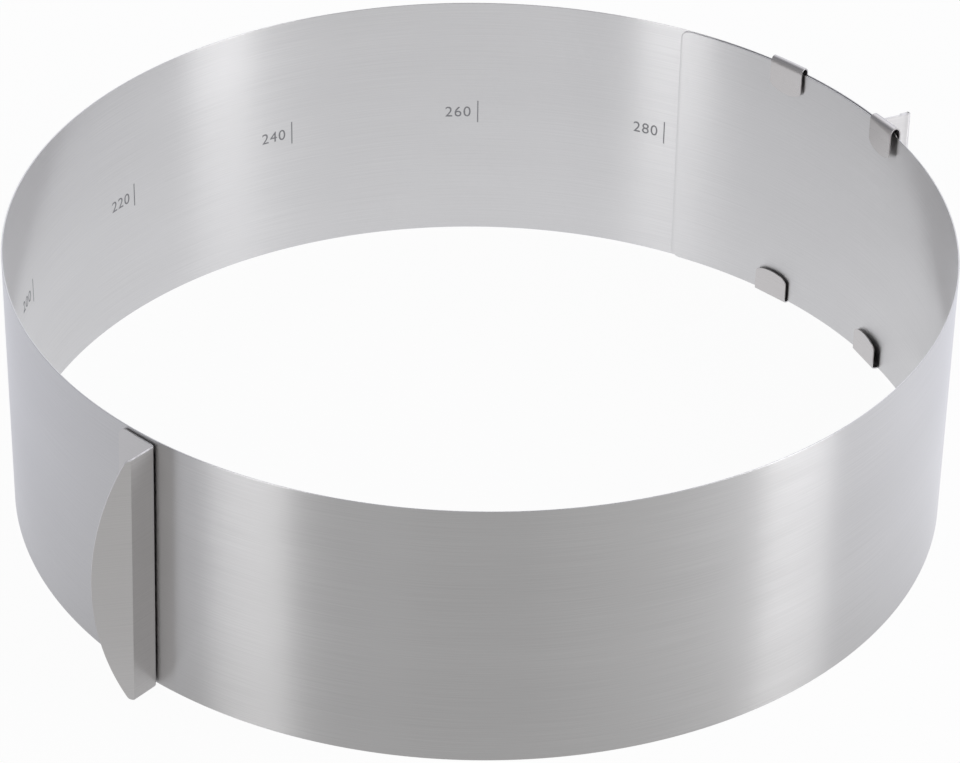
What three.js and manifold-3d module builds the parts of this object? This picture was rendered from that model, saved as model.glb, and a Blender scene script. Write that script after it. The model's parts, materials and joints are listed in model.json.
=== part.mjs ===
// Adjustable cake ring, in millimetres, Z up, standing on the plane z = 0 with its axis on Z.
//
// One springy steel strip is rolled clockwise into a ring whose ends lap. Near its outer end a guide
// clip and an end grip are welded to its outside. Their hooks reach over both rims and hold the inner
// end, which slides in them when the ring is set to another diameter. A side handle is welded on
// opposite the lap, and with the end grip it serves to lift the ring.
//
// The strip bends along its whole length when it is set, so it is drawn as a row of short links.
// A place on the strip is its distance from the inner end, measured along the strip.

import * as THREE from 'three';
import Module from 'manifold-3d';

// Band
const BAND_HEIGHT = 85;
const BAND_SHEET = 0.4;
const BAND_CORNER = 3;
const SET_DIAMETER = 281;
const LAP_LENGTH = 93.6;
const LAP_GAP = 0.45;
const SEAM_DEGREES = 63.3;

// Links that the band is drawn in
const LINKS_TO_HANDLE = 21;
const LINKS_TO_CLIP = 19;
const LINKS_TO_GRIP = 2;
const LINK_GAP = 0.3;
const FACET_LENGTH = 4;

// Sheet metal fittings that are welded to the outside of the band
const FITTING_SHEET = 0.6;
const SEAT_GAP = 0.3;
const FITTING_MARGIN = 1.6;
const LEG_WIDTH = 14.1;
const LEG_CORNER = 3.5;
const BEND_RADIUS = 0.8;

// Places of the fittings, at the middle of the leg that is welded on: the handle's is the turn from the
// inner end, the grip's is from the outer end, and the clip's is from the grip
const HANDLE_TURN_DEGREES = 195.1;
const END_GRIP_INSET = 6.8;
const CLIP_SPACING = 45.9;

// Side handle
const HANDLE_TOP_MARGIN = 1;
const HANDLE_BOTTOM_MARGIN = 0.4;
const HANDLE_FLANGE_REACH = 10;
const HANDLE_LIP_REACH = 11.4;
const HANDLE_LIP_END_REACH = 1.25;
const HANDLE_LIP_DEGREES = 38;
const HANDLE_CORNER = 1.6;
const HANDLE_LEAN_DEGREES = -2;
const HANDLE_TILT_DEGREES = -1.7;

// End grip
const GRIP_REACH = 12.3;
const GRIP_CORNER = 0.8;
const GRIP_HEM = 1.6;
const GRIP_LEAN_DEGREES = 4.5;

// Hooks
const HOOK_SHEET = 0.4;
const HOOK_WIDTH = 12.8;
const HOOK_RISE = 1.25;
const HOOK_DROP = 0.7;
const HOOK_UPPER_FOLD_RADIUS = 0.8;
const HOOK_LOWER_FOLD_RADIUS = 0.5;
const HOOK_SIDE_LENGTH = 6.4;
const HOOK_TIP_LENGTH = 2.6;
const HOOK_ROOT = 4;
const HOOK_PLAY_LEFT = 0.6;
const CLIP_PLAY_RIGHT = 0.75;
const GRIP_PLAY_RIGHT = 1.3;

const STEEL = { color: 0xb8b8ba, roughness: 0.36, metalness: 1 };

const wasm = await Module();
wasm.setup();

// The roll: the radius of the strip's middle grows by one pitch in a turn
const PITCH = BAND_SHEET + LAP_GAP;
const PITCH_PER_RADIAN = PITCH / (2 * Math.PI);
const START_RADIUS = SET_DIAMETER / 2 + BAND_SHEET / 2 - PITCH / 2;
const HALF_SHEET = BAND_SHEET / 2;

function placeAt(turn) {
  return START_RADIUS * turn + (PITCH_PER_RADIAN / 2) * turn ** 2;
}

function turnAt(place) {
  const root = Math.sqrt(START_RADIUS ** 2 + 2 * PITCH_PER_RADIAN * place);
  return (root - START_RADIUS) / PITCH_PER_RADIAN;
}

function radiusAt(place) {
  return START_RADIUS + PITCH_PER_RADIAN * turnAt(place);
}

function angleAt(place) {
  return THREE.MathUtils.degToRad(SEAM_DEGREES) - turnAt(place);
}

const BAND_LENGTH = placeAt(2 * Math.PI) + LAP_LENGTH;
const HANDLE_PLACE = placeAt(THREE.MathUtils.degToRad(HANDLE_TURN_DEGREES));
const GRIP_PLACE = BAND_LENGTH - END_GRIP_INSET;
const CLIP_PLACE = GRIP_PLACE - CLIP_SPACING;

// Point beside the strip: offset is outwards from its middle, height is over its lower rim
function besideBand(place, offset, height) {
  const angle = angleAt(place);
  const radius = radiusAt(place) + offset;
  return new THREE.Vector3(radius * Math.cos(angle), radius * Math.sin(angle), HOOK_DROP + height);
}

// How far a rounded corner of this radius draws an edge in, at a distance from the corner's end
function cornerInset(distance, radius) {
  const left = Math.max(0, radius - distance);
  return radius - Math.sqrt(radius ** 2 - left ** 2);
}

// Distances from 0 to the length, in even steps with the rounded corners at both ends resolved
function stations(length, step, cornerAtStart, cornerAtEnd) {
  const CORNER_STEPS = 5;
  const found = [];
  for (let i = 0; i < CORNER_STEPS && cornerAtStart > 0; i++) {
    found.push(cornerAtStart * (1 - Math.cos((i / CORNER_STEPS) * (Math.PI / 2))));
  }
  const count = Math.ceil((length - cornerAtStart - cornerAtEnd) / step);
  for (let i = 0; i <= count; i++) {
    found.push(THREE.MathUtils.lerp(cornerAtStart, length - cornerAtEnd, i / count));
  }
  for (let i = CORNER_STEPS - 1; i >= 0 && cornerAtEnd > 0; i--) {
    found.push(length - cornerAtEnd * (1 - Math.cos((i / CORNER_STEPS) * (Math.PI / 2))));
  }
  return found;
}

// Closed solid through a row of sections: each has a flat outline and a function that places its points
function loft(sections) {
  const count = sections[0].outline.length;
  const positions = sections.flatMap(({ outline, place }) => outline.flatMap((p) => place(p).toArray()));
  const triangles = [];
  for (let row = 0; row + 1 < sections.length; row++) {
    for (let i = 0; i < count; i++) {
      const a = row * count + i;
      const b = row * count + ((i + 1) % count);
      triangles.push([a, b, b + count], [a, b + count, a + count]);
    }
  }
  const last = (sections.length - 1) * count;
  for (const [a, b, c] of THREE.ShapeUtils.triangulateShape(sections[0].outline, [])) {
    triangles.push([a, c, b]);
  }
  for (const [a, b, c] of THREE.ShapeUtils.triangulateShape(sections.at(-1).outline, [])) {
    triangles.push([last + a, last + b, last + c]);
  }
  return facingOut(positions, triangles);
}

// Geometry whose triangles are all turned over if they enclose a negative volume
function facingOut(positions, triangles) {
  const point = (i) => new THREE.Vector3().fromArray(positions, 3 * i);
  let volume = 0;
  for (const [a, b, c] of triangles) {
    volume += point(a).dot(point(b).cross(point(c)));
  }
  const index = triangles.flatMap(([a, b, c]) => (volume < 0 ? [a, c, b] : [a, b, c]));
  const geometry = new THREE.BufferGeometry();
  geometry.setAttribute('position', new THREE.Float32BufferAttribute(positions, 3));
  geometry.setIndex(index);
  return geometry;
}

function toSolid(geometry) {
  const vertProperties = new Float32Array(geometry.getAttribute('position').array);
  const triVerts = new Uint32Array(geometry.getIndex().array);
  return new wasm.Manifold(new wasm.Mesh({ numProp: 3, vertProperties, triVerts }));
}

function joined(geometries) {
  const [first, ...others] = geometries.map(toSolid);
  const mesh = others.reduce((whole, solid) => whole.add(solid), first).getMesh();
  const geometry = new THREE.BufferGeometry();
  geometry.setAttribute('position', new THREE.Float32BufferAttribute(mesh.vertProperties, 3));
  geometry.setIndex([...mesh.triVerts]);
  return geometry;
}

function steelMesh(name, geometry) {
  geometry.computeVertexNormals();
  const mesh = new THREE.Mesh(geometry, new THREE.MeshStandardMaterial(STEEL));
  mesh.name = name;
  return mesh;
}

// Where one link ends and the next begins. The handle, the clip and the grip each sit on a link of their own.
function linkEdges() {
  const handleLink = HANDLE_PLACE / (LINKS_TO_HANDLE + 0.5);
  const clipLink = CLIP_SPACING / LINKS_TO_GRIP;
  const handleStart = HANDLE_PLACE - handleLink / 2;
  const handleEnd = HANDLE_PLACE + handleLink / 2;
  const clipStart = CLIP_PLACE - clipLink / 2;
  const gripStart = GRIP_PLACE - clipLink / 2;
  const evenly = (from, to, count) => (
    Array.from({ length: count }, (_, i) => THREE.MathUtils.lerp(from, to, i / count))
  );
  return [
    ...evenly(0, handleStart, LINKS_TO_HANDLE),
    handleStart,
    ...evenly(handleEnd, clipStart, LINKS_TO_CLIP),
    ...evenly(clipStart, gripStart, LINKS_TO_GRIP),
    gripStart,
    BAND_LENGTH,
  ];
}

// One link: a stretch of the strip, with the strip's rounded corners where it is an end
function bandLink(from, to, isFirst, isLast) {
  const start = isFirst ? from : from + LINK_GAP / 2;
  const end = isLast ? to : to - LINK_GAP / 2;
  const startCorner = isFirst ? BAND_CORNER : 0;
  const endCorner = isLast ? BAND_CORNER : 0;
  const sections = stations(end - start, FACET_LENGTH, startCorner, endCorner).map((along) => {
    const inset = cornerInset(along, startCorner) + cornerInset(end - start - along, endCorner);
    const high = BAND_HEIGHT - inset;
    const outline = [
      new THREE.Vector2(-HALF_SHEET, inset),
      new THREE.Vector2(HALF_SHEET, inset),
      new THREE.Vector2(HALF_SHEET, high),
      new THREE.Vector2(-HALF_SHEET, high),
    ];
    return { outline, place: (p) => besideBand(start + along, p.x, p.y) };
  });
  return loft(sections);
}

// A fitting's own plane: x runs clockwise along the band from the fitting's place, y points outwards.
// A point beside the strip, at a distance along it and an offset from its middle, in that plane:
function seatPoint(radius, along, offset) {
  const turn = along / radius;
  return new THREE.Vector2((radius + offset) * Math.sin(turn), (radius + offset) * Math.cos(turn) - radius);
}

const SEAT_INNER = HALF_SHEET + SEAT_GAP;
const SEAT_OUTER = SEAT_INNER + FITTING_SHEET;
const FITTING_LOW = FITTING_MARGIN;
const FITTING_HIGH = BAND_HEIGHT - FITTING_MARGIN;
const LEG_STEPS = 4;

// Angle bracket: a leg along the band, a bend at its counter-clockwise edge and a flange that stands out.
// reach(height) is how far its sheet reaches out from the band, measured along the sheet, and
// tip(base, outwards, length) gives the outline of the flange's end.
function bracket({ radius, low, high, leanDegrees, corner, reach, tip }) {
  const lean = THREE.MathUtils.degToRad(leanDegrees);
  const outerBend = BEND_RADIUS + FITTING_SHEET;
  const left = -LEG_WIDTH / 2;
  const centre = seatPoint(radius, left + outerBend, SEAT_INNER + outerBend);
  const outwards = new THREE.Vector2(Math.sin(lean), Math.cos(lean));
  const BEND_STEPS = 5;
  const bendArc = (bendRadius) => Array.from({ length: BEND_STEPS + 1 }, (_, i) => {
    const angle = THREE.MathUtils.lerp(1.5 * Math.PI, Math.PI - lean, i / BEND_STEPS);
    return new THREE.Vector2(Math.cos(angle), Math.sin(angle)).multiplyScalar(bendRadius).add(centre);
  });
  const height = high - low;
  const STATION_STEP = 5;
  const rounding = Math.max(corner, LEG_CORNER);
  return loft(stations(height, STATION_STEP, rounding, rounding).map((up) => {
    const fromEnd = Math.min(up, height - up);
    const right = LEG_WIDTH / 2 - cornerInset(fromEnd, LEG_CORNER);
    const legFace = (offset) => Array.from({ length: LEG_STEPS }, (_, i) => (
      seatPoint(radius, THREE.MathUtils.lerp(right, left + outerBend, i / LEG_STEPS), offset)
    ));
    const outside = bendArc(outerBend);
    const inside = bendArc(BEND_RADIUS);
    const length = reach(low + up) - cornerInset(fromEnd, corner) - SEAT_GAP - outerBend;
    const outline = [
      ...legFace(SEAT_INNER),
      ...outside,
      ...tip(outside.at(-1), outwards, length),
      ...inside.reverse(),
      ...legFace(SEAT_OUTER).reverse(),
    ].reverse();
    return { outline, place: (p) => new THREE.Vector3(p.x, p.y, low + up) };
  }));
}

// Lip that is bent over from the end of the handle's flange, towards the leg's side
function bentLip(base, outwards, length) {
  const across = new THREE.Vector2(outwards.y, -outwards.x);
  const bend = THREE.MathUtils.degToRad(HANDLE_LIP_DEGREES);
  const outerBend = BEND_RADIUS + FITTING_SHEET;
  const tangent = outerBend * Math.tan(bend / 2);
  const SHORTEST_LIP = 0.1;
  const flange = HANDLE_FLANGE_REACH - SEAT_GAP - outerBend;
  const lip = Math.max(SHORTEST_LIP, length - flange - tangent);
  const centre = base.clone().addScaledVector(outwards, length - lip - 2 * tangent).addScaledVector(across, outerBend);
  const at = (radius, angle, out) => centre.clone()
    .addScaledVector(across, out * Math.sin(angle) - radius * Math.cos(angle))
    .addScaledVector(outwards, out * Math.cos(angle) + radius * Math.sin(angle));
  const BEND_STEPS = 4;
  const angles = Array.from({ length: BEND_STEPS + 1 }, (_, i) => bend * (i / BEND_STEPS));
  return [
    ...angles.map((angle) => at(outerBend, angle, 0)),
    at(outerBend, bend, lip),
    at(BEND_RADIUS, bend, lip),
    ...angles.toReversed().map((angle) => at(BEND_RADIUS, angle, 0)),
  ];
}

// Edge whose sheet is turned back on itself, so that it is round and safe to hold
function hemmedEdge(base, outwards, length) {
  const across = new THREE.Vector2(outwards.y, -outwards.x);
  const at = (out, over) => base.clone().addScaledVector(outwards, length + out).addScaledVector(across, over);
  const ROUND_STEPS = 6;
  const round = Array.from({ length: ROUND_STEPS + 1 }, (_, i) => {
    const angle = (i / ROUND_STEPS) * Math.PI;
    return at(FITTING_SHEET * (Math.sin(angle) - 1), FITTING_SHEET * (1 - Math.cos(angle)));
  });
  return [...round, at(-GRIP_HEM, 2 * FITTING_SHEET), at(-GRIP_HEM, FITTING_SHEET)];
}

// Plain leg of the guide clip, which follows the band
function strap(radius) {
  const height = FITTING_HIGH - FITTING_LOW;
  return loft(stations(LEG_WIDTH, FACET_LENGTH, 0, 0).map((across) => {
    const outline = [
      new THREE.Vector2(SEAT_INNER, 0),
      new THREE.Vector2(SEAT_OUTER, 0),
      new THREE.Vector2(SEAT_OUTER, height),
      new THREE.Vector2(SEAT_INNER, height),
    ];
    const place = (p) => {
      const seat = seatPoint(radius, across - LEG_WIDTH / 2, p.x);
      return new THREE.Vector3(seat.x, seat.y, FITTING_LOW + p.y);
    };
    return { outline, place };
  }));
}

// Hook over the upper rim: it rises from a fitting's leg, turns over both laps and ends in a flat tab
// with a round end. The tab leaves more play at its clockwise side. A lower hook is its mirror image.
function hook(radius, playRight, isUpper) {
  const sink = (FITTING_SHEET - HOOK_SHEET) / 2;
  const legFace = SEAT_INNER + sink;
  const lapFace = -HALF_SHEET - LAP_GAP - BAND_SHEET;
  const half = HOOK_WIDTH / 2;
  const tabLeft = seatPoint(radius, -half, lapFace - HOOK_PLAY_LEFT);
  const tabRight = seatPoint(radius, half, lapFace - playRight);
  const WIDTH_STEPS = 10;
  const FOLD_STEPS = 4;
  const crown = BAND_HEIGHT + (isUpper ? HOOK_RISE : HOOK_DROP);
  const innerFold = isUpper ? HOOK_UPPER_FOLD_RADIUS : HOOK_LOWER_FOLD_RADIUS;
  const foldHeight = crown - HOOK_SHEET - innerFold;
  const legFoot = FITTING_HIGH - HOOK_ROOT;
  const tabFoot = BAND_HEIGHT - HOOK_SIDE_LENGTH;
  return loft(Array.from({ length: WIDTH_STEPS + 1 }, (_, row) => {
    const across = -half * Math.cos((row / WIDTH_STEPS) * Math.PI);
    const leg = seatPoint(radius, across, legFace);
    const tab = tabLeft.clone().lerp(tabRight, (across + half) / HOOK_WIDTH);
    const inwards = tab.clone().sub(leg);
    const opening = inwards.length();
    inwards.normalize();
    const foot = tabFoot - HOOK_TIP_LENGTH * Math.sqrt(Math.max(0, 1 - (across / half) ** 2));
    const quarter = (middle, from, foldRadius) => Array.from({ length: FOLD_STEPS + 1 }, (_, i) => {
      const angle = from - (i / FOLD_STEPS) * (Math.PI / 2);
      return new THREE.Vector2(
        middle + foldRadius * Math.cos(angle),
        foldHeight + foldRadius * Math.sin(angle),
      );
    });
    const fold = (foldRadius) => [
      ...quarter(innerFold, Math.PI, foldRadius),
      ...quarter(opening - innerFold, Math.PI / 2, foldRadius),
    ];
    const outline = [
      new THREE.Vector2(0, legFoot),
      ...fold(innerFold),
      new THREE.Vector2(opening, foot),
      new THREE.Vector2(opening + HOOK_SHEET, foot),
      ...fold(innerFold + HOOK_SHEET).reverse(),
      new THREE.Vector2(-HOOK_SHEET, legFoot),
    ];
    const place = (p) => new THREE.Vector3(
      leg.x + inwards.x * p.x,
      leg.y + inwards.y * p.x,
      isUpper ? p.y : BAND_HEIGHT - p.y,
    );
    return { outline, place };
  }));
}

function hooks(radius, playRight) {
  return [hook(radius, playRight, true), hook(radius, playRight, false)];
}

// Sets a fitting, made in its own plane, on the outside of the band
function seated(name, geometry, place) {
  const mesh = steelMesh(name, geometry);
  mesh.position.copy(besideBand(place, 0, 0));
  mesh.rotation.z = angleAt(place) - Math.PI / 2;
  return mesh;
}

// The handle's flange has a lip with a bowed edge. The handle is welded on a little askew: it is tilted
// about the direction in which it stands out.
function sideHandle() {
  const low = HANDLE_BOTTOM_MARGIN;
  const high = BAND_HEIGHT - HANDLE_TOP_MARGIN;
  const half = (high - low) / 2;
  const depth = HANDLE_LIP_REACH - HANDLE_LIP_END_REACH;
  const bowRadius = (half ** 2 + depth ** 2) / (2 * depth);
  const bow = (height) => {
    const rise = height - low - half;
    const lip = HANDLE_LIP_REACH - bowRadius + Math.sqrt(bowRadius ** 2 - rise ** 2);
    return HANDLE_FLANGE_REACH + lip;
  };
  const geometry = bracket({
    radius: radiusAt(HANDLE_PLACE),
    low,
    high,
    leanDegrees: HANDLE_LEAN_DEGREES,
    corner: HANDLE_CORNER,
    reach: bow,
    tip: bentLip,
  });
  const middle = BAND_HEIGHT / 2;
  geometry.translate(0, 0, -middle);
  geometry.rotateY(THREE.MathUtils.degToRad(HANDLE_TILT_DEGREES));
  geometry.translate(0, 0, middle);
  return seated('side_handle', geometry, HANDLE_PLACE);
}

function guideClip() {
  const radius = radiusAt(CLIP_PLACE);
  return seated('guide_clip', joined([strap(radius), ...hooks(radius, CLIP_PLAY_RIGHT)]), CLIP_PLACE);
}

function endGrip() {
  const radius = radiusAt(GRIP_PLACE);
  const flange = bracket({
    radius,
    low: FITTING_LOW,
    high: FITTING_HIGH,
    leanDegrees: GRIP_LEAN_DEGREES,
    corner: GRIP_CORNER,
    reach: () => GRIP_REACH,
    tip: hemmedEdge,
  });
  return seated('end_grip', joined([flange, ...hooks(radius, GRIP_PLAY_RIGHT)]), GRIP_PLACE);
}

const cakeRing = new THREE.Group();
cakeRing.name = 'cake_ring';

const edges = linkEdges();
const lastLink = edges.length - 2;
for (let i = 0; i <= lastLink; i++) {
  const name = `band_link_${String(i + 1).padStart(2, '0')}`;
  cakeRing.add(steelMesh(name, bandLink(edges[i], edges[i + 1], i === 0, i === lastLink)));
}
cakeRing.add(sideHandle(), guideClip(), endGrip());

export default cakeRing;
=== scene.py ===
# %% [markdown]
# # A cake ring that can be set to any diameter
#
# The ring is one long strip of springy stainless steel, rolled up with its ends lapped. A clip and a grip near
# the outer end hook over both rims and hold the inner lap, so that the strip slides through them as the ring is
# set wider or narrower. A bowed handle stands out at the side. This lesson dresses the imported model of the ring:
# it draws the strip as one smooth skin over its links, draws the folded fittings with fine rounded edges, marks
# the scale, and mixes the brushed steel.

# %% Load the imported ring
import json

import bpy
import numpy as np
from mathutils import Matrix

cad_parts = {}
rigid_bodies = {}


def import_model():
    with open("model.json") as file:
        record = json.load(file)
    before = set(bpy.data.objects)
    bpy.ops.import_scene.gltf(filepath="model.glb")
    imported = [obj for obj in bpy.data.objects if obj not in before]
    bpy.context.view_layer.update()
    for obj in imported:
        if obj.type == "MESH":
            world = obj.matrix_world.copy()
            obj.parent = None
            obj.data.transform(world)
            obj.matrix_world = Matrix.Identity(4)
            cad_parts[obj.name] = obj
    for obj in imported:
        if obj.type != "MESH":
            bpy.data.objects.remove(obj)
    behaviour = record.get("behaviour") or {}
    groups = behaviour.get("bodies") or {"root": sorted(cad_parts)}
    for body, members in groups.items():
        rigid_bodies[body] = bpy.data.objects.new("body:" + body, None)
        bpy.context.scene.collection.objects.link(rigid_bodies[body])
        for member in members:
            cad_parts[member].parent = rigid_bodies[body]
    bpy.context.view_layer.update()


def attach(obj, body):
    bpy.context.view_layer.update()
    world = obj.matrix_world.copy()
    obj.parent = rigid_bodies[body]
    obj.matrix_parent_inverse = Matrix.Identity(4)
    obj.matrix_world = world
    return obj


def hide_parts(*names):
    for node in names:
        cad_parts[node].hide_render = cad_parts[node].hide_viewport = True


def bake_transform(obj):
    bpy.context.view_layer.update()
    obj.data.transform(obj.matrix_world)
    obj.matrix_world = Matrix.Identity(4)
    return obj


for spare in list(bpy.data.objects):
    bpy.data.objects.remove(spare)
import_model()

# %% [markdown]
# The photograph was taken from a little over a metre away with a long lens, about a third of the way up from
# level. The camera is placed by those facts: its distance from the ring's middle, its elevation, a slight roll,
# the focal length in pixels, and the pixel where the lens points. The shift moves that pixel to its place.

# %% Camera
MM = 0.001
FRAME_WIDTH, FRAME_HEIGHT = 960, 763
CAMERA_ELEVATION = np.radians(33.525)
CAMERA_ROLL = np.radians(0.961)
CAMERA_DISTANCE = 1242.6 * MM
FOCAL_PIXELS = 4131.3
AXIS_PIXEL = (479.4, 353.3)
RING_MIDDLE = np.array([0.0, 0.0, 43.2 * MM])


def camera_axes(elevation, roll):
    """The camera's right, up and back directions: back points from the ring to the camera."""
    back = np.array([0.0, -np.cos(elevation), np.sin(elevation)])
    level = np.array([1.0, 0.0, 0.0])
    upright = np.cross(back, level)
    right = np.cos(roll) * level + np.sin(roll) * upright
    return right, np.cross(back, right), back


right, up, back = camera_axes(CAMERA_ELEVATION, CAMERA_ROLL)
lens = bpy.data.cameras.new("photo_camera")
lens.sensor_width = 36.0
lens.lens = FOCAL_PIXELS * lens.sensor_width / FRAME_WIDTH
lens.shift_x = (FRAME_WIDTH / 2 - AXIS_PIXEL[0]) / FRAME_WIDTH
lens.shift_y = (AXIS_PIXEL[1] - FRAME_HEIGHT / 2) / FRAME_WIDTH
camera = bpy.data.objects.new("photo_camera", lens)
bpy.context.scene.collection.objects.link(camera)
placed = np.eye(4)
placed[:3, :3] = np.stack([right, up, back], axis=1)
placed[:3, 3] = RING_MIDDLE + back * CAMERA_DISTANCE
camera.matrix_world = Matrix(placed.tolist())
bpy.context.scene.camera = camera
print("camera with a", round(lens.lens, 1), "mm lens at", np.round(placed[:3, 3], 3))

# %% [markdown]
# Blender works in linear light, and colours are written as the sRGB hex values that a picture shows. One
# function turns one into the other. A second one adds any node to a material, sets its inputs and links them,
# so that the materials below read as short lists.

# %% Colour and node helpers


def linear(hex_colour):
    """sRGB hex to linear RGBA: below 0.04045 divide by 12.92, else ((c + 0.055) / 1.055) to the power 2.4."""
    c = np.array([int(hex_colour[i:i + 2], 16) for i in (1, 3, 5)]) / 255
    c = np.where(c <= 0.04045, c / 12.92, ((c + 0.055) / 1.055) ** 2.4)
    return (*c.tolist(), 1.0)


def new_tree(owner):
    """Empties the node tree of a material or world and returns it."""
    owner.use_nodes = True
    owner.node_tree.nodes.clear()
    return owner.node_tree


def add_node(tree, kind, settings=None, **inputs):
    """Adds a node. Settings are its own options; each input is a value, or an output socket to link."""
    node = tree.nodes.new(kind)
    for name, value in (settings or {}).items():
        setattr(node, name, value)
    for name, value in inputs.items():
        key = int(name[1:]) if name[0] == "i" and name[1:].isdigit() else name.replace("_", " ")
        socket = node.inputs[key]
        if isinstance(value, bpy.types.NodeSocket):
            tree.links.new(value, socket)
        else:
            socket.default_value = value
    return node


# %% [markdown]
# The strip is stainless steel sheet, brushed along its length by a belt. Under a lens the brushing is a mass of
# fine scratches that all run the same way. They have two effects. Seen close, there are faint light and dark
# streaks along the strip. Seen from afar, reflections stay sharp along the scratches and smear out across them,
# so lamps become soft upright bands. The streaks are a noise texture stretched along the strip's own map, in
# metres along and metres up. Real scratches are about 0.05 mm wide, too fine for this picture, so the streaks
# are drawn about 0.4 mm wide. The smear is the shader's anisotropy, turned a quarter to lie across them.
#
# Three steels are mixed this way. The handle's sheet is a little lighter than the strip's. The clips have a
# satin finish, which smears the same in every direction. Their grey is darker than the strip's, and that
# darker grey is painted shade: it stands in for the duller reflection of their flat tabs against the curved
# strip and makes the tabs' outlines show.

# %% Brushed and satin stainless steel
STREAKS_PER_METRE = (30.0, 3600.0, 1.0)
CLOUDS_PER_METRE = (9.0, 45.0, 1.0)
CLOUD_SHARE = 0.35
TINT_RANGE = {"From_Min": 0.42, "From_Max": 0.93}
STREAK_RANGE = {"From_Min": 0.3, "From_Max": 0.7}
ROUGHNESS_SPREAD = 0.03
SCRATCH_STRENGTH, SCRATCH_DEPTH = 0.12, 0.02 * MM
BRUSHED = {"roughness": 0.31, "anisotropy": 1.0, "turned": 0.25}
SATIN = {"roughness": 0.3, "anisotropy": 0.0, "turned": 0.0}


def steel_sheet(name, light, dark, roughness, anisotropy, turned):
    """Metal whose colour wavers between two greys in long streaks, with fine scratches in its relief."""
    steel = bpy.data.materials.new(name)
    tree = new_tree(steel)
    strip_map = add_node(tree, "ShaderNodeUVMap", {"uv_map": "strip"}).outputs["UV"]
    streak_size = add_node(tree, "ShaderNodeMapping", Vector=strip_map, Scale=STREAKS_PER_METRE)
    streaks = add_node(tree, "ShaderNodeTexNoise", {"noise_dimensions": "2D"},
                       Vector=streak_size.outputs[0], Scale=1.0, Detail=3.0, Roughness=0.6).outputs[0]
    cloud_size = add_node(tree, "ShaderNodeMapping", Vector=strip_map, Scale=CLOUDS_PER_METRE)
    clouds = add_node(tree, "ShaderNodeTexNoise", {"noise_dimensions": "2D"},
                      Vector=cloud_size.outputs[0], Scale=1.0, Detail=2.0).outputs[0]
    both = add_node(tree, "ShaderNodeMath", {"operation": "MULTIPLY_ADD"}, i0=clouds, i1=CLOUD_SHARE, i2=streaks)
    share = add_node(tree, "ShaderNodeMapRange", Value=both.outputs[0], **TINT_RANGE)
    tint = add_node(tree, "ShaderNodeMix", {"data_type": "RGBA"}, Factor=share.outputs[0],
                    i6=linear(dark), i7=linear(light))
    rough = add_node(tree, "ShaderNodeMapRange", Value=streaks, **STREAK_RANGE,
                     To_Min=roughness - ROUGHNESS_SPREAD, To_Max=roughness + ROUGHNESS_SPREAD)
    relief = add_node(tree, "ShaderNodeBump", Height=streaks, Strength=SCRATCH_STRENGTH, Distance=SCRATCH_DEPTH)
    grain = add_node(tree, "ShaderNodeTangent", {"direction_type": "UV_MAP", "uv_map": "strip"})
    shader = add_node(tree, "ShaderNodeBsdfPrincipled", Base_Color=tint.outputs[2], Metallic=1.0,
                      Roughness=rough.outputs[0], Anisotropic=anisotropy, Anisotropic_Rotation=turned,
                      Normal=relief.outputs[0], Tangent=grain.outputs[0])
    add_node(tree, "ShaderNodeOutputMaterial", Surface=shader.outputs[0])
    return steel


band_steel = steel_sheet("brushed_stainless_band", "#dedddd", "#d5d4d4", **BRUSHED)
handle_steel = steel_sheet("brushed_stainless_handle", "#e3e1e0", "#dad8d7", **BRUSHED)
# The clips' darker greys are painted shade for their tilted tabs; their satin finish is real.
shaded_clip_steel = steel_sheet("satin_stainless_clips_painted_shade", "#c9c6c5", "#bfbcbb", **SATIN)
print("materials", band_steel.name, handle_steel.name, shaded_clip_steel.name)

# %% [markdown]
# Rolled up with its ends lapped, the strip is a flat spiral: it starts at the inner end, runs clockwise, and its
# radius grows by one sheet and one gap in every turn. The functions below turn a distance along the strip into a
# turn angle, and that into a point beside the strip, so every piece can be placed by how far along it sits. The
# ring stands on its lower hooks, so the strip's lower rim is one hook's drop over the table.

# %% The spiral that the strip follows
BAND_HEIGHT = 85 * MM
BAND_SHEET = 0.4 * MM
BAND_CORNER = 3 * MM
SET_DIAMETER = 281 * MM
LAP_LENGTH = 93.6 * MM
LAP_GAP = 0.45 * MM
SEAM_ANGLE = np.radians(63.3)
HOOK_DROP = 0.7 * MM
HANDLE_TURN = np.radians(195.1)
GRIP_FROM_END = 6.8 * MM
CLIP_FROM_GRIP = 45.9 * MM
TURN_GROWTH = (BAND_SHEET + LAP_GAP) / (2 * np.pi)
START_RADIUS = (SET_DIAMETER + BAND_SHEET) / 2 - np.pi * TURN_GROWTH


def place_at(turn):
    """Distance along the spiral: start radius times turn, plus half the growth times turn squared."""
    return START_RADIUS * turn + TURN_GROWTH * turn ** 2 / 2


def turn_at(place):
    """The turn at a distance along: the root of the quadratic above."""
    return (np.sqrt(START_RADIUS ** 2 + 2 * TURN_GROWTH * place) - START_RADIUS) / TURN_GROWTH


def radius_at(place):
    """The start radius plus the growth times the turn."""
    return START_RADIUS + TURN_GROWTH * turn_at(place)


def beside_band(place, offset, height):
    """Points beside the strip: a distance along it, an offset outwards from its middle, a height over its rim."""
    place, offset, height = np.broadcast_arrays(place, offset, height)
    angle = SEAM_ANGLE - turn_at(place)
    radius = radius_at(place) + offset
    return np.stack([radius * np.cos(angle), radius * np.sin(angle), HOOK_DROP + height], axis=-1)


HANDLE_PLACE = place_at(HANDLE_TURN)
BAND_LENGTH = place_at(2 * np.pi) + LAP_LENGTH
GRIP_PLACE = BAND_LENGTH - GRIP_FROM_END
CLIP_PLACE = GRIP_PLACE - CLIP_FROM_GRIP
print("strip", round(BAND_LENGTH / MM, 1), "mm long")

# %% [markdown]
# Every new piece is a grid of points: rows one way, columns the other. One function puts such a grid into a mesh
# with its map, and can close the columns into a tube and cap both ends. Shading is smooth, and breaks only where
# the sheet is creased.

# %% Grids into meshes
CREASE_ANGLE = np.radians(30)


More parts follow.
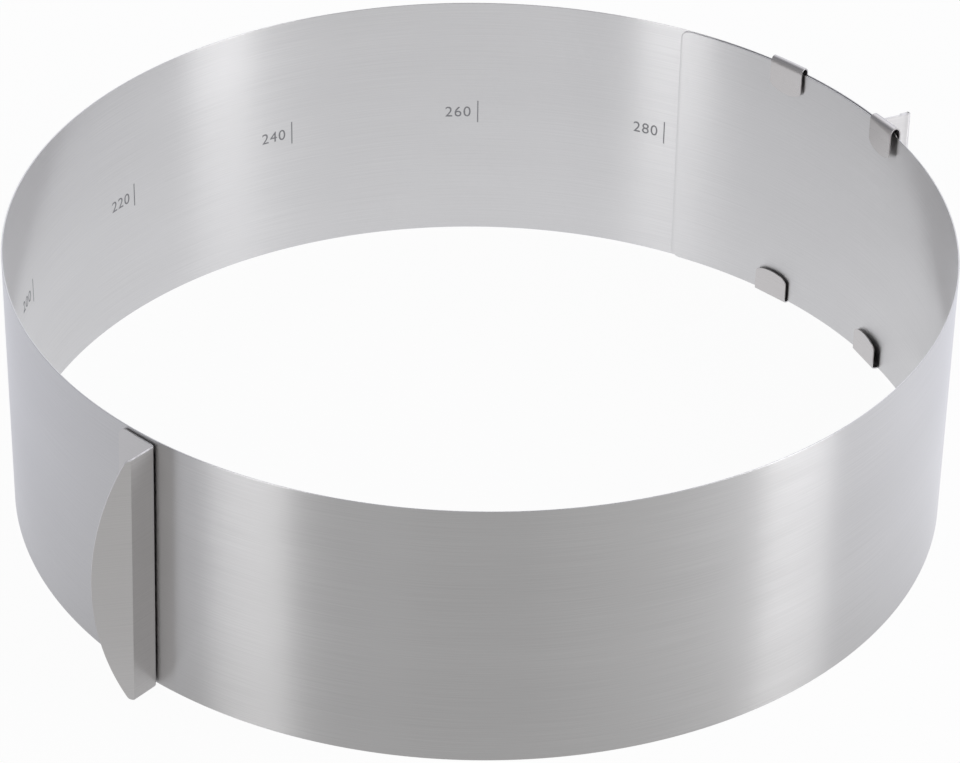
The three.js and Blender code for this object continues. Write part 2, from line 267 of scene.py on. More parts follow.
def grid_faces(rows, columns, closed):
    """Quads between neighbouring rows and columns; closed joins the last column to the first and caps both ends."""
    index = np.arange(rows * columns).reshape(rows, columns)
    if closed:
        index = np.concatenate([index, index[:, :1]], axis=1)
    quads = np.stack([index[:-1, :-1], index[1:, :-1], index[1:, 1:], index[:-1, 1:]], axis=-1)
    caps = [index[0, :-1].tolist(), index[-1, -2::-1].tolist()] if closed else []
    return quads.reshape(-1, 4).tolist() + caps


def mesh_piece(name, points, maps, faces, material):
    """A smooth mesh at the origin whose map gives each corner its point's place on the strip."""
    mesh = bpy.data.meshes.new(name)
    mesh.from_pydata(points.tolist(), [], faces)
    corner_vertex = np.empty(len(mesh.loops), dtype=np.int32)
    mesh.loops.foreach_get("vertex_index", corner_vertex)
    layer = mesh.uv_layers.new(name="strip")
    layer.uv.foreach_set("vector", maps[corner_vertex].astype(np.float32).ravel())
    mesh.shade_smooth()
    mesh.set_sharp_from_angle(angle=CREASE_ANGLE)
    mesh.materials.append(material)
    piece = bpy.data.objects.new(name, mesh)
    bpy.context.scene.collection.objects.link(piece)
    return piece


def grid_piece(name, patches, material, closed=False):
    """One mesh of several grids, each given as its points and their map."""
    first = np.cumsum([0] + [points.shape[0] * points.shape[1] for points, _ in patches])
    faces = [[int(start) + i for i in face] for start, (points, _) in zip(first, patches)
             for face in grid_faces(*points.shape[:2], closed)]
    points = np.concatenate([points.reshape(-1, 3) for points, _ in patches])
    maps = np.concatenate([maps.reshape(-1, 2) for _, maps in patches])
    return mesh_piece(name, points, maps, faces, material)


def steps(start, end, size):
    """Even places from start to end, no further apart than a size."""
    return np.linspace(start, end, max(2, int(np.ceil(abs(end - start) / size)) + 1))


# %% [markdown]
# In the imported model the strip is a chain of 44 stiff links with a hinge between neighbours, because a solver
# moves stiff bodies. The real strip bends evenly and shows no joints. So the skin is cut not at the hinges but
# halfway along each link: every stretch covers one hinge. The first and the last stretch move with their end
# links; the others are not tied to a link.

# %% Where the links and the skins begin
LINKS_TO_HANDLE, LINKS_TO_CLIP = 21, 19
HANDLE_LINK = HANDLE_PLACE / (LINKS_TO_HANDLE + 0.5)
CLIP_LINK = (GRIP_PLACE - CLIP_PLACE) / 2
CLIP_START = CLIP_PLACE - CLIP_LINK / 2
GRIP_START = GRIP_PLACE - CLIP_LINK / 2
LINK_EDGES = np.concatenate([
    np.linspace(0, HANDLE_PLACE - HANDLE_LINK / 2, LINKS_TO_HANDLE + 1),
    np.linspace(HANDLE_PLACE + HANDLE_LINK / 2, CLIP_START, LINKS_TO_CLIP + 1),
    [CLIP_START + CLIP_LINK, GRIP_START, BAND_LENGTH],
])
LINK_COUNT = len(LINK_EDGES) - 1
LINK_MIDDLES = (LINK_EDGES[:-1] + LINK_EDGES[1:]) / 2
SKIN_CUTS = np.concatenate([[0], LINK_MIDDLES, [BAND_LENGTH]])
print(LINK_COUNT, "links,", len(SKIN_CUTS) - 1, "skins")

# %% [markdown]
# A skin is the strip's cross-section carried along the spiral. The section's points lie close together at the
# rims, whose edges are very slightly rounded as a deburred sheet's are, and far apart on the flat sides. The
# strip's two ends have round corners, and its inner end is rolled outwards by a hair.

# %% Band skins
EDGE_ROUND = 0.12 * MM
SIDE_INSETS = np.concatenate([[0.12, 0.3, 0.8, 2.5], np.linspace(7, 42.5, 6)]) * MM
SKIN_STEP = 0.9 * MM
END_ROLL_LENGTH, END_ROLL_LIFT = 1.2 * MM, 0.055 * MM


def sheet_profile():
    """Round the strip's cross-section: offsets from its middle, distances in from the rims and which rim."""
    side = np.concatenate([SIDE_INSETS, SIDE_INSETS[-2::-1]])
    is_high = np.concatenate([np.zeros(len(SIDE_INSETS)), np.ones(len(SIDE_INSETS) - 1)])
    arc = np.radians([22.5, 45, 67.5])
    half = BAND_SHEET / 2
    near = EDGE_ROUND * (1 - np.cos(arc))
    far = EDGE_ROUND * (1 - np.sin(arc))
    across = np.concatenate([near - half, [EDGE_ROUND - half, half - EDGE_ROUND], (half - near)[::-1]])
    rise = np.concatenate([far, [0, 0], far[::-1]])
    offset = np.concatenate([np.full(len(side), -half), across, np.full(len(side), half), across[::-1]])
    distance = np.concatenate([side, rise, side[::-1], rise])
    high = np.concatenate([is_high, np.ones(len(rise)), is_high[::-1], np.zeros(len(rise))])
    return offset, distance, high


def corner_inset(distance, radius):
    """How far a round corner draws an edge in: the radius less the root of radius squared less what is left."""
    left = np.clip(radius - distance, 0, radius)
    return radius - np.sqrt(radius ** 2 - left ** 2)


def band_skin(name, start, end):
    """The profile carried along the spiral, drawn in at the strip's ends and rolled outwards at the inner one."""
    places = steps(start, end, SKIN_STEP)
    if start == 0 or end == BAND_LENGTH:
        fine = BAND_CORNER * (1 - np.cos(np.linspace(0, np.pi / 2, 10)))
        places = np.unique(np.concatenate([places, fine if start == 0 else BAND_LENGTH - fine]))
    inset = corner_inset(np.minimum(places, BAND_LENGTH - places), BAND_CORNER)[:, None]
    offset, distance, high = sheet_profile()
    height = np.where(high > 0.5, BAND_HEIGHT - inset - distance, inset + distance)
    rolled = END_ROLL_LIFT * np.clip(1 - places[:, None] / END_ROLL_LENGTH, 0, 1) ** 2
    points = beside_band(places[:, None], offset + rolled, height)
    maps = np.stack(np.broadcast_arrays(places[:, None], height), axis=-1)
    return grid_piece(name, [(points, maps)], band_steel, closed=True)


def follow_strip(piece, place):
    """Ties a piece on the first or last stretch to the end link there, and leaves a piece elsewhere in place."""
    skin = int(np.clip(np.searchsorted(SKIN_CUTS, place) - 1, 0, LINK_COUNT))
    if skin in (0, LINK_COUNT):
        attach(piece, f"link_{max(skin, 1):02d}")
        return
    ends = beside_band(LINK_MIDDLES[skin - 1:skin + 1], 0, BAND_HEIGHT / 2)
    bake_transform(piece)


for skin, (start, end) in enumerate(zip(SKIN_CUTS[:-1], SKIN_CUTS[1:])):
    piece = band_skin(f"band_skin_{skin + 1:02d}", start, end)
    follow_strip(piece, (start + end) / 2)
    covered = sorted({max(skin, 1), min(skin + 1, LINK_COUNT)})
    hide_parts(*[f"band_link_{i:02d}" for i in covered])
print("last skin has", len(piece.data.vertices), "points")

# %% [markdown]
# The diameter scale is marked on the strip's inside: a short upright line for every 20 mm, with its number
# beside it. A mark's place follows from the ring itself. When the ring is set to a diameter, the strip's inner
# end lies just at that mark, one inner circumference along, so the place is pi times the diameter. On this strip
# the marks lie a little short of that, and their row climbs a little along the strip.
# The marks are etched: a thin grey film, drawn 0.03 mm proud so that it shows.

# %% Etched grey
SPECKS_PER_METRE = 1500.0
etch = bpy.data.materials.new("etched_grey_marks")
etch_tree = new_tree(etch)
etch_place = add_node(etch_tree, "ShaderNodeTexCoord").outputs["Object"]
etch_speck = add_node(etch_tree, "ShaderNodeTexNoise", Vector=etch_place, Scale=SPECKS_PER_METRE, Detail=2.0)
etch_tint = add_node(etch_tree, "ShaderNodeMix", {"data_type": "RGBA"}, Factor=etch_speck.outputs[0],
                     i6=linear("#828285"), i7=linear("#9b9b9e"))
etch_skin = add_node(etch_tree, "ShaderNodeBsdfPrincipled", Base_Color=etch_tint.outputs[2],
                     Metallic=0.4, Roughness=0.6)
add_node(etch_tree, "ShaderNodeOutputMaterial", Surface=etch_skin.outputs[0])
print("material", etch.name)

# %% Diameter scale
MARK_DIAMETERS = range(180, 301, 20)
TICK_LOW, TICK_HIGH = 40.4 * MM, 48.5 * MM
TICK_WIDTH = 0.38 * MM
MARK_PROUD = 0.03 * MM
MARK_SUNK_SHARE = 0.3
MARK_SHIFT = -0.4 * MM
MARK_CLIMB, LEVEL_DIAMETER = 0.65 * MM, 256 * MM
NUMBER_HEIGHT = 3.75 * MM
NUMBER_GAP = 2.0 * MM
NUMBER_SPACING = 1.12
NUMBER_MIDDLE = 5 * MM


def mark_lift(place):
    """How far the marks have climbed: the climb a mark times the marks from the place of the level diameter."""
    return MARK_CLIMB * (place - np.pi * LEVEL_DIAMETER) / (np.pi * MARK_DIAMETERS.step * MM)


def scale_tick(diameter, place):
    """A thin upright bar: its four-sided section carried up along the inside of the strip."""
    along = place + TICK_WIDTH / 2 * np.array([-1, -1, 1, 1])
    offset = -BAND_SHEET / 2 + MARK_PROUD * np.array([-1, MARK_SUNK_SHARE, MARK_SUNK_SHARE, -1])
    height = steps(TICK_LOW, TICK_HIGH, 1 * MM)[:, None] + mark_lift(place)
    points = beside_band(along, offset, height)
    maps = np.stack(np.broadcast_arrays(along, height), axis=-1)
    return grid_piece(f"scale_tick_{diameter}", [(points, maps)], etch, closed=True)


def scale_number(diameter, place):
    """Lettering bent on to the strip: across becomes distance along, up becomes height, depth becomes offset."""
    text = bpy.data.curves.new(f"scale_number_{diameter}", "FONT")
    text.body = str(diameter)
    text.align_x = "RIGHT"
    text.extrude = 0.5
    text.space_character = NUMBER_SPACING
    writing = bpy.data.objects.new(text.name, text)
    bpy.context.scene.collection.objects.link(writing)
    bpy.context.view_layer.update()
    flat = bpy.data.meshes.new_from_object(writing.evaluated_get(bpy.context.evaluated_depsgraph_get()))
    bpy.data.objects.remove(writing)
    at = np.empty(len(flat.vertices) * 3, dtype=np.float32)
    flat.vertices.foreach_get("co", at)
    at = at.reshape(-1, 3).astype(float)
    size = NUMBER_HEIGHT / np.ptp(at[:, 1])
    along = place - TICK_WIDTH / 2 - NUMBER_GAP + at[:, 0] * size
    middle = (at[:, 1].min() + at[:, 1].max()) / 2
    height = (TICK_LOW + TICK_HIGH) / 2 + mark_lift(place) + (at[:, 1] - middle) * size
    proud = np.where(at[:, 2] > 0, 1, -MARK_SUNK_SHARE)
    points = beside_band(along, -BAND_SHEET / 2 - MARK_PROUD * proud, height)
    faces = [list(face.vertices) for face in flat.polygons]
    return mesh_piece(text.name, points, np.stack([along, height], axis=-1), faces, etch)


for diameter in MARK_DIAMETERS:
    place = np.pi * diameter * MM + MARK_SHIFT
    tick, number = scale_tick(diameter, place), scale_number(diameter, place)
    for piece, at in ((tick, place), (number, place - NUMBER_MIDDLE)):
        follow_strip(piece, at)
print("scale from", MARK_DIAMETERS[0], "to", MARK_DIAMETERS[-1])

# %% [markdown]
# The fittings are folded from thin sheet and welded on. Each is made in its own plane, with x clockwise along the
# strip, y outwards and z up, and then set in its place on the ring. Only the middle of the sheet is worked out,
# as a grid: Solidify gives it its thickness and Bevel takes the sharpness off its cut edges, as deburring does.

# %% Sheet fittings
FITTING_SHEET = 0.6 * MM
SEAT_GAP = 0.3 * MM
SEAT_INNER = BAND_SHEET / 2 + SEAT_GAP
FITTING_MARGIN = 1.6 * MM
EDGE_SHARE = 0.28
EDGE_ANGLE = np.radians(50)


def seat_point(radius, along, offset):
    """A point beside the strip in a fitting's plane: (radius + offset) times sine and cosine, less the radius."""
    turn = np.asarray(along) / radius
    x, y = (radius + offset) * np.sin(turn), (radius + offset) * np.cos(turn) - radius
    return np.stack(np.broadcast_arrays(x, y), axis=-1)


def raised(flat, height):
    """Points of a fitting's plane with their height as a third coordinate."""
    return np.concatenate([flat, np.broadcast_to(height, flat.shape[:2])[..., None]], axis=-1)


def seat(points, place):
    """Turns a fitting's plane to its place on the ring and moves it there."""
    turn = SEAM_ANGLE - turn_at(place) - np.pi / 2
    c, s = np.cos(turn), np.sin(turn)
    x, y, z = np.moveaxis(points, -1, 0)
    return np.stack([c * x - s * y, s * x + c * y, z], axis=-1) + beside_band(place, 0, 0)


def run_along(points):
    """Distance along the columns of a grid, added up from point to point."""
    gaps = np.linalg.norm(np.diff(points, axis=1), axis=-1)
    return np.concatenate([np.zeros((len(points), 1)), np.cumsum(gaps, axis=1)], axis=1)


def along_line(start, direction, length, count):
    """Points from a start along a direction, evenly up to each row's length."""
    out = length * np.linspace(0, 1, count + 1)[1:]
    return start + out[..., None] * direction


def finish_sheet(piece, thickness, body, node):
    """Gives a sheet its thickness and soft edges, and makes it stand for its node."""
    wall = piece.modifiers.new("wall", "SOLIDIFY")
    wall.thickness = thickness
    wall.offset = 0.0
    wall.use_even_offset = True
    edge = piece.modifiers.new("edge", "BEVEL")
    edge.width = EDGE_SHARE * thickness
    edge.segments = 3
    edge.limit_method = "ANGLE"
    edge.angle_limit = EDGE_ANGLE
    edge.harden_normals = True
    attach(piece, body)
    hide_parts(node)


# %% [markdown]
# The handle and the grip are both angles: a leg that lies along the strip, a bend, and a flange that stands out
# from it. They differ in their flange's edge, so that is worked out by a function of each one's own.

# %% Angles
LEG_WIDTH = 14.1 * MM
LEG_CORNER = 3.5 * MM
BEND_RADIUS = 0.8 * MM
OUTER_BEND = BEND_RADIUS + FITTING_SHEET
ANGLE_STEP = 1.2 * MM


def angle_rows(low, high):
    """Heights of an angle's rows, close together where the leg's corners are rounded."""
    rounding = LEG_CORNER * (1 - np.cos(np.linspace(0, np.pi / 2, 12)))
    rows = np.concatenate([steps(low, high, ANGLE_STEP), low + rounding, high - rounding])
    return np.unique(np.round(rows, 7))[:, None]


def angle_sheet(place, low, high, lean, corner, reach, flange, stand_off=0.0):
    """Middle of an angle's sheet: a leg along the strip that stands off towards the bend, the bend and a flange."""
    radius = radius_at(place)
    height = angle_rows(low, high)
    from_end = np.minimum(height - low, high - height)
    left = OUTER_BEND - LEG_WIDTH / 2
    leg_right = LEG_WIDTH / 2 - corner_inset(from_end, LEG_CORNER)
    share = np.linspace(0, 1, 12)[:-1]
    leg_offset = SEAT_INNER + FITTING_SHEET / 2 + stand_off * share
    leg = seat_point(radius, leg_right + (left - leg_right) * share, leg_offset)
    middle = seat_point(radius, left, SEAT_INNER + stand_off + OUTER_BEND)
    angle = np.linspace(1.5 * np.pi, np.pi - lean, 12)
    bend = middle + (BEND_RADIUS + FITTING_SHEET / 2) * np.stack([np.cos(angle), np.sin(angle)], axis=-1)
    outwards = np.array([np.sin(lean), np.cos(lean)])
    length = reach(height) - corner_inset(from_end, corner) - SEAT_GAP - stand_off - OUTER_BEND
    bends = np.broadcast_to(bend, (len(height), *bend.shape))
    points = raised(np.concatenate([leg, bends, flange(bend[-1], outwards, length)], axis=1), height)
    maps = np.stack(np.broadcast_arrays(run_along(points), height), axis=-1)
    return points, maps


# %% [markdown]
# The side handle's flange is narrow. Its edge is bent over into a lip for the fingers, and the lip is cut in a
# bow. The sheet is cut flat first and bent afterwards, so the bow says how far the sheet reaches, measured along
# it, and the bend decides where that comes to lie. The crease is sharp, as a press brake makes it. The handle
# was welded on a little askew, and its leg stands off the strip towards the bend.

# %% Side handle
HANDLE_LOW, HANDLE_HIGH = 0.4 * MM, BAND_HEIGHT - 1 * MM
HANDLE_FLANGE_REACH = 10 * MM
HANDLE_LIP_REACH, HANDLE_LIP_END_REACH = 11.4 * MM, 1.25 * MM
HANDLE_LIP_BEND = np.radians(38)
HANDLE_LEAST_LIP = 0.04 * MM
HANDLE_CORNER = 1.2 * MM
HANDLE_STAND_OFF = 0.2 * MM
HANDLE_LEAN, HANDLE_TILT = np.radians(-2), np.radians(-1.7)


def handle_reach(height):
    """The flange's reach plus a bow, an arc whose radius is (half height squared + depth squared) / (2 depth)."""
    half = (HANDLE_HIGH - HANDLE_LOW) / 2
    depth = HANDLE_LIP_REACH - HANDLE_LIP_END_REACH
    bow = (half ** 2 + depth ** 2) / (2 * depth)
    rise = height - HANDLE_LOW - half
    return HANDLE_FLANGE_REACH + HANDLE_LIP_REACH - bow + np.sqrt(bow ** 2 - rise ** 2)


def bent_lip(base, outwards, length):
    """A straight flange, and a straight lip at the bend's angle with what is left of the length."""
    across = np.array([outwards[1], -outwards[0]])
    flange = HANDLE_FLANGE_REACH - SEAT_GAP - HANDLE_STAND_OFF - OUTER_BEND
    lip = np.maximum(HANDLE_LEAST_LIP, length - flange)
    straight = along_line(base, outwards, length - lip, 9)
    lip_direction = np.sin(HANDLE_LIP_BEND) * across + np.cos(HANDLE_LIP_BEND) * outwards
    return np.concatenate([straight, along_line(straight[:, -1:], lip_direction, lip, 14)], axis=1)


points, maps = angle_sheet(HANDLE_PLACE, HANDLE_LOW, HANDLE_HIGH, HANDLE_LEAN, HANDLE_CORNER,
                           handle_reach, bent_lip, HANDLE_STAND_OFF)
x, y, z = np.moveaxis(points, -1, 0)
z = z - BAND_HEIGHT / 2
c, s = np.cos(HANDLE_TILT), np.sin(HANDLE_TILT)
points = np.stack([c * x + s * z, y, BAND_HEIGHT / 2 - s * x + c * z], axis=-1)
handle = grid_piece("side_handle_sheet", [(seat(points, HANDLE_PLACE), maps)], handle_steel)
finish_sheet(handle, FITTING_SHEET, "link_22", "side_handle")
print("side handle", len(handle.data.vertices), "points")

# %% [markdown]
# A hook is a tongue of the clip's or the grip's sheet: it rises outside the strip, turns over both laps in a
# round fold, and ends in a flat tab with a round end that keeps the inner lap in. The tab is flat and the strip
# is curved, so the play between them differs from one side of the tab to the other. The folds of the upper hooks
# are higher arches, and an arch can rise from one side to the other.

# %% Hooks
HOOK_SHEET = 0.4 * MM
HOOK_WIDTH = 12.8 * MM
HOOK_RISE = 1.25 * MM
HOOK_ROOT = 4 * MM
HOOK_SIDE_LENGTH, HOOK_TIP_LENGTH = 6.4 * MM, 2.6 * MM
UPPER_FOLD, LOWER_FOLD = 0.8 * MM, 0.5 * MM
HOOK_PLAY_LEFT = 0.6 * MM


def hook_sheet(place, play_right, is_upper, shift=0.0, crown=(0.0, 0.0)):
    """Middle of a hook's sheet: rows across its width, columns up the leg, over half an ellipse and down the tab."""
    radius = radius_at(place)
    half = HOOK_WIDTH / 2
    leg_face = SEAT_INNER + (FITTING_SHEET - HOOK_SHEET) / 2
    lap_face = -BAND_SHEET / 2 - LAP_GAP - BAND_SHEET
    across = -half * np.cos(np.linspace(0, np.pi, 34))
    share = ((across + half) / HOOK_WIDTH)[:, None]
    leg = seat_point(radius, across + shift, leg_face)
    tab_left = seat_point(radius, shift - half, lap_face - HOOK_PLAY_LEFT)
    tab_right = seat_point(radius, shift + half, lap_face - play_right)
    tab = tab_left + (tab_right - tab_left) * share
    opening = np.linalg.norm(tab - leg, axis=-1)[:, None]
    inwards = (tab - leg) / opening
    fold = (UPPER_FOLD if is_upper else LOWER_FOLD) + HOOK_SHEET / 2
    fold_height = BAND_HEIGHT + (HOOK_RISE if is_upper else HOOK_DROP) - HOOK_SHEET / 2 - fold
    crown_height = fold + crown[0] + (crown[1] - crown[0]) * share
    tip = HOOK_TIP_LENGTH * np.sqrt(np.clip(1 - (across / half) ** 2, 0, 1))[:, None]
    foot = BAND_HEIGHT - HOOK_SIDE_LENGTH - tip
    rise = np.linspace(BAND_HEIGHT - FITTING_MARGIN - HOOK_ROOT, fold_height, 6)[:-1]
    rise = np.broadcast_to(rise, (len(across), len(rise)))
    angle = np.linspace(0, np.pi, 25)
    down = fold_height + (foot - fold_height) * np.linspace(0, 1, 11)[1:]
    height = np.concatenate([rise, fold_height + crown_height * np.sin(angle), down], axis=1)
    on_leg = np.full_like(rise, -HOOK_SHEET / 2)
    on_arch = opening / 2 - (opening / 2 + HOOK_SHEET / 2) * np.cos(angle)
    on_tab = np.broadcast_to(opening + HOOK_SHEET / 2, down.shape)
    sideways = np.concatenate([on_leg, on_arch, on_tab], axis=1)
    flat = leg[:, None] + inwards[:, None] * sideways[..., None]
    points = raised(flat, height if is_upper else BAND_HEIGHT - height)
    maps = np.stack(np.broadcast_arrays(across[:, None], run_along(points)), axis=-1)
    return seat(points, place), maps


# %% [markdown]
# The guide clip is a flat strap up the outside of the strip, with a hook at each end. It was welded on a little
# askew: its foot stands to one side of its head, so the strap is sheared and the lower hook is moved.

# %% Guide clip
CLIP_PLAY = 0.75 * MM
CLIP_ASKEW = -1.1 * MM
CLIP_CROWN = (0.8 * MM, 0.85 * MM)
strap_across = np.linspace(-LEG_WIDTH / 2, LEG_WIDTH / 2, 15)[:, None]
strap_height = steps(FITTING_MARGIN, BAND_HEIGHT - FITTING_MARGIN, 2 * MM)
strap_along = strap_across + CLIP_ASKEW * (1 - strap_height / BAND_HEIGHT)
strap_flat = seat_point(radius_at(CLIP_PLACE), strap_along, SEAT_INNER + FITTING_SHEET / 2)
strap_points = seat(raised(strap_flat, strap_height), CLIP_PLACE)
strap_maps = np.stack(np.broadcast_arrays(strap_across, strap_height), axis=-1)
strap = grid_piece("guide_clip_strap", [(strap_points, strap_maps)], shaded_clip_steel)
finish_sheet(strap, FITTING_SHEET, "link_42", "guide_clip")
clip_hooks = grid_piece("guide_clip_hooks", [
    hook_sheet(CLIP_PLACE, CLIP_PLAY, True, crown=CLIP_CROWN),
    hook_sheet(CLIP_PLACE, CLIP_PLAY, False, shift=CLIP_ASKEW),
], shaded_clip_steel)
finish_sheet(clip_hooks, HOOK_SHEET, "link_42", "guide_clip")
print("guide clip", len(strap.data.vertices) + len(clip_hooks.data.vertices), "points")

# %% [markdown]
# The end grip is one more angle, at the strip's outer end. Its flange is short, and its edge is hemmed: the sheet
# is turned back flat on itself behind the flange, which makes the edge round, stiff and safe to push with a
# thumb. The last stretch of the flange before the hem is flared a little.

# %% End grip
GRIP_REACH = 12.3 * MM
GRIP_LEAN = np.radians(4.5)
GRIP_CORNER = 0.2 * MM
GRIP_HEM = 3.2 * MM
GRIP_HEM_FOLD = 0.58 * FITTING_SHEET
GRIP_FLARE_LENGTH = 1.3 * MM
GRIP_FLARE = np.radians(2.5)
GRIP_PLAY = 1.3 * MM
GRIP_CROWN = (0.3 * MM, 1.6 * MM)


def grip_reach(height):
    """The same reach at every height."""
    return np.full_like(height, GRIP_REACH)


def hemmed_edge(base, outwards, length):
    """A straight flange, its slightly flared edge, a half circle, and a straight hem that comes back behind it."""
    across = np.array([outwards[1], -outwards[0]])
    flare = np.sin(GRIP_FLARE) * across + np.cos(GRIP_FLARE) * outwards
    straight = along_line(base, outwards, length - FITTING_SHEET - GRIP_FLARE_LENGTH, 12)
    flared = along_line(straight[:, -1:], flare, np.full_like(length, GRIP_FLARE_LENGTH), 4)
    angle = np.linspace(0, np.pi, 11)[1:, None]
    round_edge = flared[:, -1:] + GRIP_HEM_FOLD * ((np.cos(angle) - 1) * across + np.sin(angle) * outwards)
    hem = along_line(round_edge[:, -1:], -outwards, np.full_like(length, GRIP_HEM - FITTING_SHEET), 4)
    return np.concatenate([straight, flared, round_edge, hem], axis=1)


points, maps = angle_sheet(GRIP_PLACE, FITTING_MARGIN, BAND_HEIGHT - FITTING_MARGIN, GRIP_LEAN, GRIP_CORNER,
                           grip_reach, hemmed_edge)
grip = grid_piece("end_grip_sheet", [(seat(points, GRIP_PLACE), maps)], handle_steel)
finish_sheet(grip, FITTING_SHEET, "link_44", "end_grip")
grip_hooks = grid_piece("end_grip_hooks", [
    hook_sheet(GRIP_PLACE, GRIP_PLAY, True, crown=GRIP_CROWN),
    hook_sheet(GRIP_PLACE, GRIP_PLAY, False),
], shaded_clip_steel)
finish_sheet(grip_hooks, HOOK_SHEET, "link_44", "end_grip")
print("end grip", len(grip.data.vertices) + len(grip_hooks.data.vertices), "points")

# %% [markdown]
# Steel has hardly a colour of its own: it shows what is around it. So the studio is drawn by its directions:
# white and a little cool behind the ring, and greyer towards the photographer. Each entry gives an azimuth in
# degrees, a grey level and how cool it is. The table and the room read the same list.

# %% Studio light by direction
STUDIO_LEVELS = [
    (-180, 0.86, 0.075), (-154, 0.76, 0.05), (-122, 0.555, 0.01), (-97, 0.488, 0.0),
    (-82, 0.488, 0.0), (-58, 0.575, 0.0), (-34, 0.735, 0.02), (0, 1.0, 0.05),
    (40, 1.0, 0.1), (124, 1.0, 0.085), (156, 0.92, 0.085), (180, 0.86, 0.075),
]
WHITE = (1.0, 1.0, 1.0, 1.0)


def studio_level(tree, where):
    """The grey of the studio in a direction: its azimuth, from arctan2(y, x), read off a ramp of grey levels."""
    split = add_node(tree, "ShaderNodeSeparateXYZ", Vector=where)
    azimuth = add_node(tree, "ShaderNodeMath", {"operation": "ARCTAN2"},
                       i0=split.outputs["Y"], i1=split.outputs["X"])
    share = add_node(tree, "ShaderNodeMapRange", Value=azimuth.outputs[0], From_Min=-np.pi, From_Max=np.pi)
    ramp = add_node(tree, "ShaderNodeValToRGB", Fac=share.outputs[0])
    stops = ramp.color_ramp.elements
    for azimuth_degrees, _, _ in STUDIO_LEVELS[1:-1]:
        stops.new((azimuth_degrees + 180) / 360)
    for stop, (azimuth_degrees, level, cool) in zip(stops, STUDIO_LEVELS):
        stop.position = (azimuth_degrees + 180) / 360
        stop.color = (level * (1 - cool / 2), level * (1 - cool / 3), level * (1 + cool / 2), 1.0)
    return ramp.outputs["Color"]


# %% [markdown]
# The ring stands on a white table. To the camera the table is white, and it keeps a faint shadow. In the steel it
# shows the studio's levels, but inside the ring it is white there too. A painted backdrop would give the same
# white, but it would not lie under the ring and reflect in it as a table does.

# %% Table
TABLE_HALF = 6.0
TABLE_GLOW = 0.95
INSIDE_WHITE = (0.98, 0.99, 1.015, 1.0)
table_corners = TABLE_HALF * np.array([(-1, -1, 0), (1, -1, 0), (1, 1, 0), (-1, 1, 0)])
table_mesh = bpy.data.meshes.new("table")
table_mesh.from_pydata(table_corners.tolist(), [], [(0, 1, 2, 3)])
table = bpy.data.objects.new("table", table_mesh)
bpy.context.scene.collection.objects.link(table)
laminate = bpy.data.materials.new("white_laminate_table")
table_tree = new_tree(laminate)
ray = add_node(table_tree, "ShaderNodeLightPath").outputs
spot = add_node(table_tree, "ShaderNodeTexCoord").outputs["Object"]
level = studio_level(table_tree, spot)
from_middle = add_node(table_tree, "ShaderNodeVectorMath", {"operation": "LENGTH"}, i0=spot).outputs["Value"]
inside = add_node(table_tree, "ShaderNodeMath", {"operation": "LESS_THAN"}, i0=from_middle, i1=SET_DIAMETER / 2)
lit = add_node(table_tree, "ShaderNodeMix", {"data_type": "RGBA"}, Factor=inside.outputs[0],
               i6=level, i7=INSIDE_WHITE)
paper = add_node(table_tree, "ShaderNodeMix", {"data_type": "RGBA"}, Factor=ray["Is Camera Ray"],
                 i6=lit.outputs[2], i7=WHITE)
white = add_node(table_tree, "ShaderNodeEmission", Color=paper.outputs[2], Strength=1.0)
matt = add_node(table_tree, "ShaderNodeBsdfDiffuse", Color=linear("#ececec"))
seen = add_node(table_tree, "ShaderNodeMath", {"operation": "MAXIMUM"},
                i0=ray["Is Camera Ray"], i1=ray["Is Glossy Ray"])
seen = add_node(table_tree, "ShaderNodeMath", {"operation": "MAXIMUM"},
                i0=seen.outputs[0], i1=ray["Is Transmission Ray"])
share = add_node(table_tree, "ShaderNodeMath", {"operation": "MULTIPLY"}, i0=seen.outputs[0], i1=TABLE_GLOW)
mixed = add_node(table_tree, "ShaderNodeMixShader", i0=share.outputs[0], i1=matt.outputs[0], i2=white.outputs[0])
add_node(table_tree, "ShaderNodeOutputMaterial", Surface=mixed.outputs[0])
table_mesh.materials.append(laminate)
print("table", 2 * TABLE_HALF, "m wide")

# %% [markdown]
# Above the table the room has the same levels. It is darker at the left and overhead, which shades the folds of
# the hooks, and lighter towards the photographer. The camera itself sees a white background. Each side is given
# by where along its axis the change starts and ends, and by the brightness there.

# %% Studio
LEFT_SIDE = {"From_Min": -0.6, "From_Max": -0.3, "To_Min": 0.4, "To_Max": 1.0}
FRONT_SIDE = {"From_Min": -0.7, "From_Max": -0.1, "To_Min": 1.35, "To_Max": 0.9}
CEILING = {"From_Min": 0.82, "From_Max": 0.92, "To_Min": 1.0, "To_Max": 0.3}
studio = bpy.data.worlds.new("studio")
bpy.context.scene.world = studio
world_tree = new_tree(studio)
ray = add_node(world_tree, "ShaderNodeLightPath").outputs
direction = add_node(world_tree, "ShaderNodeTexCoord").outputs["Generated"]
level = studio_level(world_tree, direction)
towards = add_node(world_tree, "ShaderNodeSeparateXYZ", Vector=direction).outputs
left_side = add_node(world_tree, "ShaderNodeMapRange", Value=towards["X"], **LEFT_SIDE)
front_side = add_node(world_tree, "ShaderNodeMapRange", Value=towards["Y"], **FRONT_SIDE)
ceiling = add_node(world_tree, "ShaderNodeMapRange", Value=towards["Z"], **CEILING)
sides = add_node(world_tree, "ShaderNodeMath", {"operation": "MULTIPLY"},
                 i0=left_side.outputs[0], i1=front_side.outputs[0])
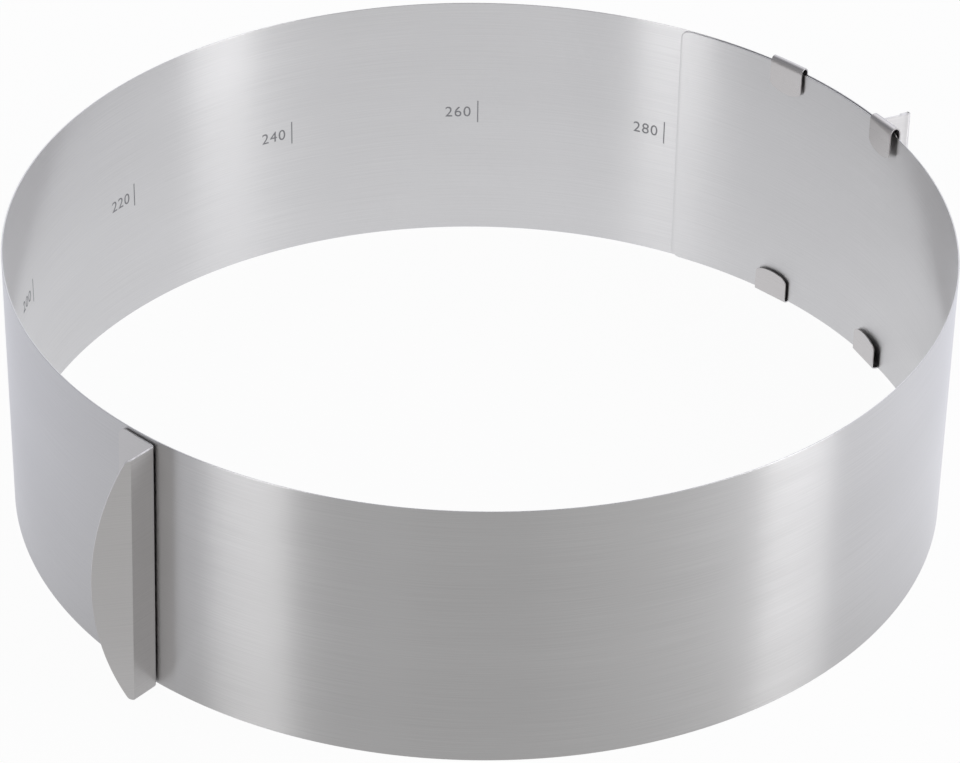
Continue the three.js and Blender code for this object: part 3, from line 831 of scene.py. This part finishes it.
brightness = add_node(world_tree, "ShaderNodeMath", {"operation": "MULTIPLY"},
                      i0=sides.outputs[0], i1=ceiling.outputs[0])
room = add_node(world_tree, "ShaderNodeBackground", Color=level, Strength=brightness.outputs[0])
paper = add_node(world_tree, "ShaderNodeBackground", Color=WHITE, Strength=1.0)
mixed = add_node(world_tree, "ShaderNodeMixShader", i0=ray["Is Camera Ray"],
                 i1=room.outputs[0], i2=paper.outputs[0])
add_node(world_tree, "ShaderNodeOutputWorld", Surface=mixed.outputs[0])
bpy.context.scene.view_settings.view_transform = "Standard"
print("studio with", len(STUDIO_LEVELS), "levels")

# %% [markdown]
# Two tall soft boxes, at the left and at the right of the camera, make the upright bright bands in the steel. A
# third one behind the ring makes the cut edges and the folds shine. Each stands on or over the table, faces the
# ring and is out of the camera's sight. Lengths are in metres.

# %% Soft boxes
SOFT_BOXES = {
    "left": {"azimuth": -138.3, "away": 1.55, "low": 0.0, "high": 2.0, "width": 0.5, "glow": 2.75},
    "right": {"azimuth": -20.5, "away": 0.95, "low": 0.0, "high": 1.6, "width": 0.295, "glow": 2.65},
    "back": {"azimuth": 90.0, "away": 1.6, "low": 0.55, "high": 1.3, "width": 2.4, "glow": 0.5},
}


def soft_box(name, azimuth, away, low, high, width, glow):
    """An upright lamp that faces the ring. Its power is its glow times its area times pi."""
    lamp = bpy.data.lights.new(f"soft_box_{name}", "AREA")
    lamp.shape = "RECTANGLE"
    lamp.size, lamp.size_y = width, high - low
    lamp.energy = glow * width * (high - low) * np.pi
    box = bpy.data.objects.new(lamp.name, lamp)
    outwards = np.array([np.cos(np.radians(azimuth)), np.sin(np.radians(azimuth)), 0.0])
    stands = np.eye(4)
    stands[:3, :3] = np.stack([np.cross([0, 0, 1.0], outwards), [0, 0, 1.0], outwards], axis=1)
    stands[:3, 3] = away * outwards + np.array([0, 0, (low + high) / 2])
    box.matrix_world = Matrix(stands.tolist())
    box.visible_camera = False
    bpy.context.scene.collection.objects.link(box)


for name, facts in SOFT_BOXES.items():
    soft_box(name, **facts)
print("studio lit by", len(SOFT_BOXES), "soft boxes")
